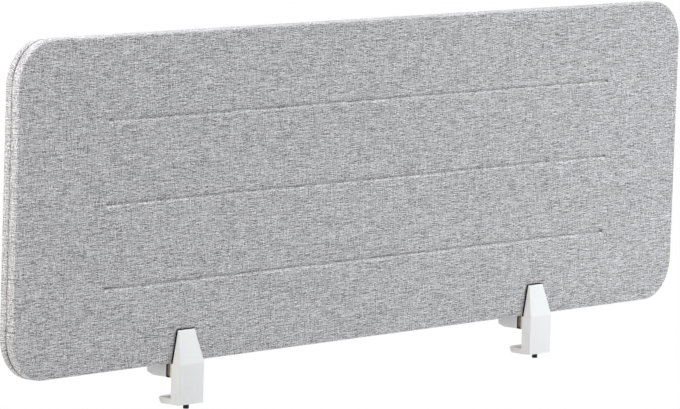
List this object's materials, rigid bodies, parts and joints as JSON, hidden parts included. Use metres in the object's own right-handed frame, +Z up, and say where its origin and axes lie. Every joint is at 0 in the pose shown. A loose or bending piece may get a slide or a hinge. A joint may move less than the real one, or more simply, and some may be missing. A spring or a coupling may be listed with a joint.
{
  "type": "clamp-on desk screen",
  "caption": "Long fabric-covered acoustic screen with rounded corners and pressed grooves, held upright on a desk edge by white screw clamps.",
  "frame": {"origin": "where the desk top meets the desk's edge, midway between the two clamps", "axes": "+X along the desk edge, +Y back over the desk top away from the person behind the screen's front face, +Z up"},
  "size_m": [1.6, 0.0673, 0.5696],
  "materials": {
    "cover_fabric": "light grey melange weave, matte",
    "pressed_felt": "pressed felt, matte",
    "wadding": "loose wadding, matte",
    "timber": "planed softwood, matte",
    "white_paint": "satin",
    "black_rubber": "matte",
    "grey_rubber": "matte",
    "cream_plastic": "satin",
    "black_plastic": "satin",
    "cast_metal": "as cast, satin",
    "black_steel": "black oxide, satin",
    "zinc_steel": "zinc plated, satin"
  },
  "bodies": {
    "panel": {"front_fabric": "cover_fabric", "rear_fabric": "cover_fabric", "front_shell": "pressed_felt", "rear_shell": "pressed_felt", "bottom_rail": "timber", "top_rail": "timber", "left_stile": "timber", "right_stile": "timber", "left_post": "timber", "right_post": "timber", "left_wadding": "wadding", "middle_wadding": "wadding", "right_wadding": "wadding", "frame_screws": "zinc_steel"},
    "left_slide": {"left_slide_block": "cast_metal", "left_face_plate": "cream_plastic", "left_sleeve": "black_plastic", "left_clamp_nut": "zinc_steel", "left_grip_nut": "zinc_steel"},
    "left_front": {"left_front_jaw": "white_paint", "left_front_pad": "black_rubber", "left_lip_pad": "grey_rubber"},
    "left_clamp_drive": {"left_clamp_screw": "black_steel"},
    "left_rear": {"left_rear_jaw": "white_paint", "left_rear_pad": "black_rubber", "left_foot_pad": "grey_rubber"},
    "left_grip_drive": {"left_grip_screw": "black_steel"},
    "right_slide": {"right_slide_block": "cast_metal", "right_face_plate": "cream_plastic", "right_sleeve": "black_plastic", "right_clamp_nut": "zinc_steel", "right_grip_nut": "zinc_steel"},
    "right_front": {"right_front_jaw": "white_paint", "right_front_pad": "black_rubber", "right_lip_pad": "grey_rubber"},
    "right_clamp_drive": {"right_clamp_screw": "black_steel"},
    "right_rear": {"right_rear_jaw": "white_paint", "right_rear_pad": "black_rubber", "right_foot_pad": "grey_rubber"},
    "right_grip_drive": {"right_grip_screw": "black_steel"}
  },
  "joints": [
    {"name": "left_clamp_slide", "type": "slide", "parent": "panel", "child": "left_slide", "axis": [1, 0, 0], "range_m": [-0.27, 0.36]},
    {"name": "left_desk_grip", "type": "slide", "parent": "left_slide", "child": "left_front", "axis": [0, 0, 1], "range_m": [0, 0.021]},
    {"name": "left_clamp_screw_turn", "type": "hinge", "parent": "left_front", "child": "left_clamp_drive", "pos_m": [-0.426, -0.0065, -0.0405], "axis": [0, 0, 1], "range_deg": [0, 7561]},
    {"name": "left_panel_grip", "type": "slide", "parent": "left_slide", "child": "left_rear", "axis": [0, 1, 0], "range_m": [0, 0.006]},
    {"name": "left_grip_screw_turn", "type": "hinge", "parent": "left_rear", "child": "left_grip_drive", "pos_m": [-0.426, 0.0451, 0.0108], "axis": [0, 1, 0], "range_deg": [0, 2161]},
    {"name": "right_clamp_slide", "type": "slide", "parent": "panel", "child": "right_slide", "axis": [1, 0, 0], "range_m": [-0.36, 0.27]},
    {"name": "right_desk_grip", "type": "slide", "parent": "right_slide", "child": "right_front", "axis": [0, 0, 1], "range_m": [0, 0.021]},
    {"name": "right_clamp_screw_turn", "type": "hinge", "parent": "right_front", "child": "right_clamp_drive", "pos_m": [0.426, -0.0065, -0.0405], "axis": [0, 0, 1], "range_deg": [0, 7561]},
    {"name": "right_panel_grip", "type": "slide", "parent": "right_slide", "child": "right_rear", "axis": [0, 1, 0], "range_m": [0, 0.006]},
    {"name": "right_grip_screw_turn", "type": "hinge", "parent": "right_rear", "child": "right_grip_drive", "pos_m": [0.426, 0.0451, 0.0108], "axis": [0, 1, 0], "range_deg": [0, 2161]}
  ],
  "couplings": [
    {"joint": "left_clamp_screw_turn", "follows": "left_desk_grip", "rad_per_m": 6283.2},
    {"joint": "left_grip_screw_turn", "follows": "left_panel_grip", "rad_per_m": 6283.2},
    {"joint": "right_clamp_screw_turn", "follows": "right_desk_grip", "rad_per_m": 6283.2},
    {"joint": "right_grip_screw_turn", "follows": "right_panel_grip", "rad_per_m": 6283.2}
  ]
}
